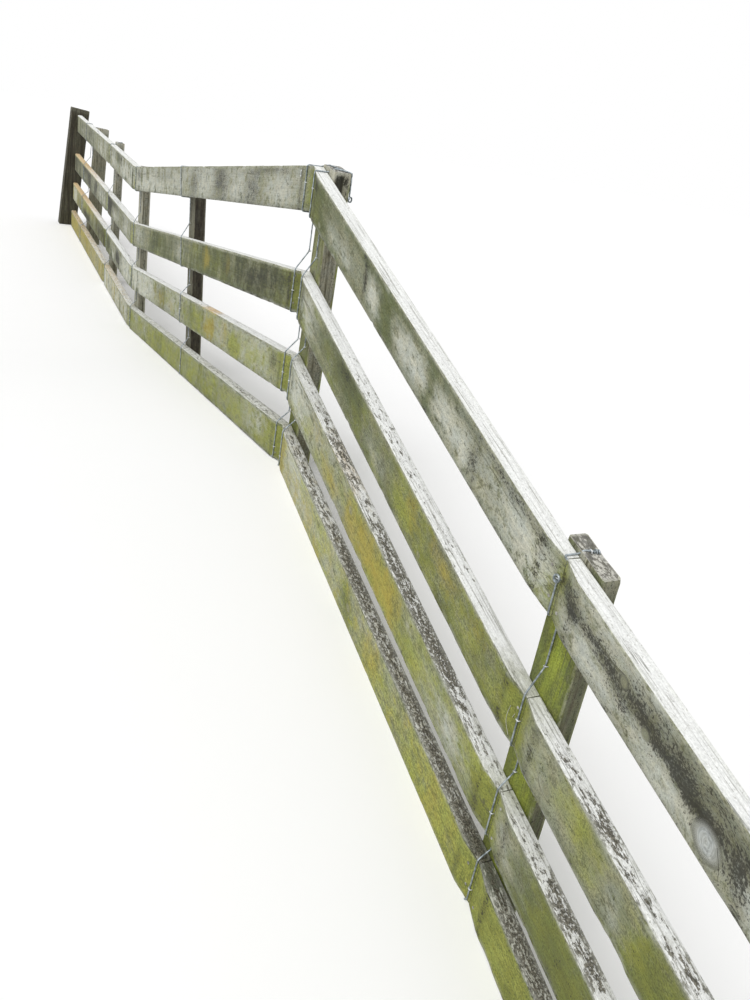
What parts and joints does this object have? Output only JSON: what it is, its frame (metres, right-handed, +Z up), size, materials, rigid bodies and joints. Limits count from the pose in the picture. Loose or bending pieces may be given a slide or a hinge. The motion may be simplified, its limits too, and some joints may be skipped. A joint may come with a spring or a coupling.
{
  "type": "post and rail fence",
  "caption": "Weathered timber post-and-rail fence that climbs a bank and levels out, its rails butted at the posts and lashed with fencing wire.",
  "frame": {"origin": "middle of the flat foot of the crest post, at ground level", "axes": "+X runs along the fence towards its near end, +Y from the rails towards the posts, +Z up; the rails are on the -Y side"},
  "size_m": [10.3192, 0.3427, 2.1616],
  "materials": {
    "rail_timber": "rough sawn and weathered silver grey, with algae and lichen",
    "post_timber": "rough split timber, weathered, green with algae",
    "dark_post_timber": "rough dark timber",
    "tie_wire": "dull galvanised fencing wire"
  },
  "bodies": {
    "root": {"bank_post": "post_timber", "bank_rail_bottom": "rail_timber", "bank_rail_lower": "rail_timber", "bank_rail_top": "rail_timber", "bank_rail_upper": "rail_timber", "bank_tie": "tie_wire", "crest_post": "post_timber", "crest_tie_far": "tie_wire", "crest_tie_near": "tie_wire", "dip_post": "post_timber", "dip_tie": "tie_wire", "end_post": "dark_post_timber", "end_rail_bottom": "rail_timber", "end_rail_lower": "rail_timber", "end_rail_top": "rail_timber", "end_rail_upper": "rail_timber", "entry_post": "post_timber", "entry_rail_bottom": "rail_timber", "entry_rail_lower": "rail_timber", "entry_rail_top": "rail_timber", "entry_rail_upper": "rail_timber", "entry_tie": "tie_wire", "far_post": "post_timber", "far_rail_bottom": "rail_timber", "far_rail_lower": "rail_timber", "far_rail_top": "rail_timber", "far_rail_upper": "rail_timber", "far_tie": "tie_wire", "middle_post": "dark_post_timber", "middle_rail_bottom": "rail_timber", "middle_rail_lower": "rail_timber", "middle_rail_top": "rail_timber", "middle_rail_upper": "rail_timber", "middle_tie": "tie_wire", "second_far_post": "dark_post_timber", "second_far_tie": "tie_wire"}
  },
  "joints": []
}
